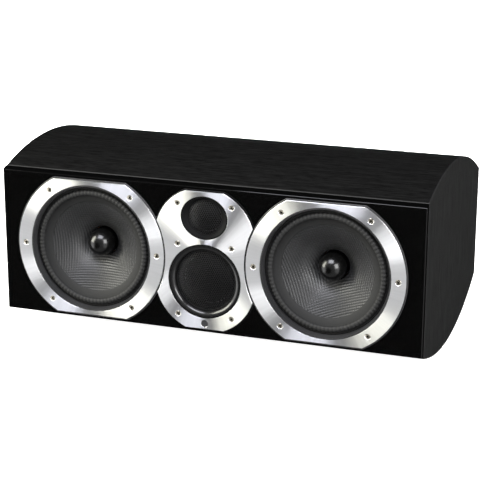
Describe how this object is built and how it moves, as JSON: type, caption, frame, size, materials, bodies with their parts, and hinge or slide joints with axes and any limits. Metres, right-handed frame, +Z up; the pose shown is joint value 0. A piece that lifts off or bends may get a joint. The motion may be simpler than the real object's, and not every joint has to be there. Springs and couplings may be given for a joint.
{
  "type": "center channel speaker",
  "caption": "Wide low centre loudspeaker: woofers with aluminium rings either side of a dome midrange and tweeter plate, in a cabinet with curved top and bottom.",
  "frame": {"origin": "on the floor under the middle of the speaker's bounding box", "axes": "+Z up, -Y towards the listener (the front), +X to the right seen from the front"},
  "size_m": [0.5396, 0.3018, 0.2354],
  "materials": {
    "gloss_board": "high gloss black lacquer on board",
    "vinyl_board": "black wood-grain vinyl on board",
    "raw_board": "bare fibreboard",
    "brushed_plate": "circular brushed aluminium",
    "black_moulding": "fine satin moulded plastic",
    "roll_rubber": "matt ribbed rubber",
    "foot_rubber": "matt rubber",
    "woven_cone": "coarse woven fibre, resin bonded",
    "plug_gloss": "polished black",
    "screw_steel": "zinc plated",
    "motor_steel": "zinc plated",
    "ferrite": "sintered ferrite",
    "copper_coil": "enamelled copper winding",
    "spider_cloth": "resin treated cloth",
    "dome_cloth": "coated soft cloth",
    "mesh_metal": "black perforated steel",
    "disc_satin": "plain dark disc",
    "wadding_fibre": "soft white fibre",
    "port_plastic": "fine satin moulded plastic",
    "cup_plastic": "moulded plastic",
    "post_brass": "gold coloured plating",
    "cap_black": "black cap",
    "cap_red": "red cap",
    "board_laminate": "glass laminate board",
    "capacitor_film": "wrapped film capacitor",
    "resistor_cement": "cement resistor"
  },
  "bodies": {
    "cabinet": {"back_panel": "vinyl_board", "blank_disc": "disc_satin", "bottom_panel": "vinyl_board", "centre_frame": "black_moulding", "centre_plate": "brushed_plate", "crossover_board": "board_laminate", "crossover_capacitors": "capacitor_film", "crossover_inductors": "copper_coil", "crossover_resistors": "resistor_cement", "driver_screws": "screw_steel", "front_baffle": "gloss_board", "left_brace": "raw_board", "left_end_panel": "vinyl_board", "left_port": "port_plastic", "left_wadding": "wadding_fibre", "left_woofer_back_plate": "motor_steel", "left_woofer_basket": "black_moulding", "left_woofer_magnet": "ferrite", "left_woofer_phase_plug": "plug_gloss", "left_woofer_spider": "spider_cloth", "left_woofer_surround": "roll_rubber", "left_woofer_top_plate": "motor_steel", "left_woofer_trim_ring": "brushed_plate", "midrange_back_plate": "motor_steel", "midrange_dome": "dome_cloth", "midrange_magnet": "ferrite", "midrange_mesh": "mesh_metal", "midrange_top_plate": "motor_steel", "right_brace": "raw_board", "right_end_panel": "vinyl_board", "right_port": "port_plastic", "right_wadding": "wadding_fibre", "right_woofer_back_plate": "motor_steel", "right_woofer_basket": "black_moulding", "right_woofer_magnet": "ferrite", "right_woofer_phase_plug": "plug_gloss", "right_woofer_spider": "spider_cloth", "right_woofer_surround": "roll_rubber", "right_woofer_top_plate": "motor_steel", "right_woofer_trim_ring": "brushed_plate", "rubber_feet": "foot_rubber", "terminal_cup": "cup_plastic", "terminal_cup_screws": "screw_steel", "terminal_posts": "post_brass", "top_panel": "vinyl_board", "tweeter_back_plate": "motor_steel", "tweeter_dome": "dome_cloth", "tweeter_magnet": "ferrite", "tweeter_mesh": "mesh_metal", "tweeter_top_plate": "motor_steel"},
    "left_diaphragm": {"left_woofer_cone": "woven_cone", "left_woofer_voice_coil": "copper_coil"},
    "right_diaphragm": {"right_woofer_cone": "woven_cone", "right_woofer_voice_coil": "copper_coil"},
    "black_cap": {"black_terminal_cap": "cap_black"},
    "red_cap": {"red_terminal_cap": "cap_red"}
  },
  "joints": [
    {"name": "left_cone_travel", "type": "slide", "parent": "cabinet", "child": "left_diaphragm", "axis": [0, -1, 0], "range_m": [-0.005, 0.005], "stiffness_N_per_m": 1400, "deforming": ["left_woofer_surround", "left_woofer_spider"]},
    {"name": "right_cone_travel", "type": "slide", "parent": "cabinet", "child": "right_diaphragm", "axis": [0, -1, 0], "range_m": [-0.005, 0.005], "stiffness_N_per_m": 1400, "deforming": ["right_woofer_surround", "right_woofer_spider"]},
    {"name": "black_cap_turn", "type": "hinge", "parent": "cabinet", "child": "black_cap", "pos_m": [-0.014, 0.1421, 0.1202], "axis": [0, 1, 0], "range_deg": [-1080, 0]},
    {"name": "red_cap_turn", "type": "hinge", "parent": "cabinet", "child": "red_cap", "pos_m": [0.014, 0.1421, 0.1202], "axis": [0, 1, 0], "range_deg": [-1080, 0]}
  ]
}
